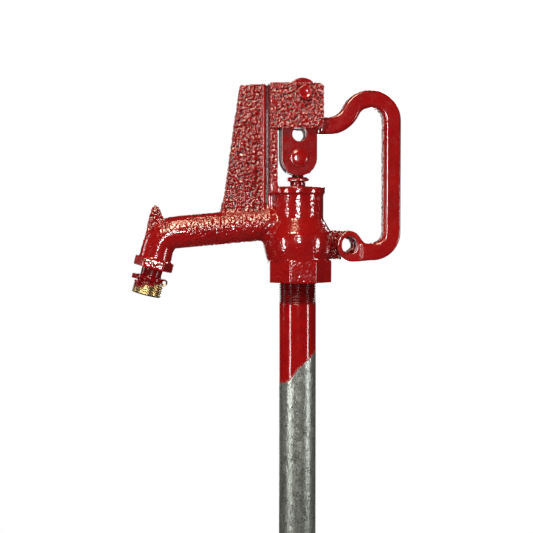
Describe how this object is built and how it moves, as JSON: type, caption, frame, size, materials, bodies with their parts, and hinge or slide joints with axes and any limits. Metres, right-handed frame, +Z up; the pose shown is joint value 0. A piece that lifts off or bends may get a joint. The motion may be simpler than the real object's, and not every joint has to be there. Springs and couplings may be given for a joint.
{
  "type": "frost-proof yard hydrant",
  "caption": "Frost-proof yard hydrant: cast head with hooked spout and hose thread, loop lever with over-centre links, tall riser, and a buried foot valve worked by a long rod.",
  "frame": {"origin": "centre of the inlet mouth at the foot of the valve body", "axes": "+Z up the riser, -X towards the spout, +X towards the handle grip, -Y towards the side shown in the picture"},
  "size_m": [0.2435, 0.063, 1.067],
  "materials": {
    "red_casting": "gloss red paint over a pebbled iron casting",
    "red_lever": "gloss red paint",
    "red_links": "gloss red paint on plate steel",
    "red_fittings": "gloss red paint over steel",
    "nozzle_brass": "brass, red paint on the upper part",
    "brass": "turned",
    "polished_brass": "polished",
    "valve_bronze": "cast bronze",
    "zinc_steel": "zinc plated",
    "galvanised_rod": "galvanised",
    "galvanised_pipe": "galvanised, red paint on the top end",
    "packing": "graphite packing",
    "rubber": "moulded rubber"
  },
  "bodies": {
    "hydrant": {"head_casting": "red_casting", "hose_nozzle": "nozzle_brass", "gland_washer": "brass", "packing_rings": "packing", "packing_follower": "brass", "packing_nut": "red_fittings", "pivot_bolt": "red_fittings", "pivot_washer": "red_fittings", "pivot_nut": "red_fittings", "riser_pipe": "galvanised_pipe", "valve_body": "valve_bronze", "valve_seat": "brass", "drain_fitting": "brass"},
    "handle": {"handle_lever": "red_lever", "pivot_bushing": "brass"},
    "link": {"link_front": "red_links", "link_rear": "red_links", "crank_pin": "zinc_steel", "rod_pin": "red_fittings", "rod_pin_clip": "zinc_steel"},
    "rod": {"stem_eye": "zinc_steel", "stem": "polished_brass", "rod_coupling": "brass", "operating_rod": "galvanised_rod", "plunger_body": "brass", "plunger_disc": "rubber", "plunger_screw": "zinc_steel"}
  },
  "joints": [
    {"name": "handle_lift", "type": "hinge", "parent": "hydrant", "child": "handle", "pos_m": [0.0038, 0, 1.0525], "axis": [0, -1, 0], "range_deg": [0, 75]},
    {"name": "link_swing", "type": "hinge", "parent": "handle", "child": "link", "pos_m": [0.0002, 0, 1.0356], "axis": [0, -1, 0], "range_deg": [-103, 0]},
    {"name": "rod_lift", "type": "slide", "parent": "hydrant", "child": "rod", "axis": [0, 0, 1], "range_m": [0, 0.0139]}
  ],
  "couplings": [
    {"joint": "link_swing", "follows": "handle_lift", "ratio": -1.37},
    {"joint": "rod_lift", "follows": "handle_lift", "m_per_rad": 0.010542}
  ]
}
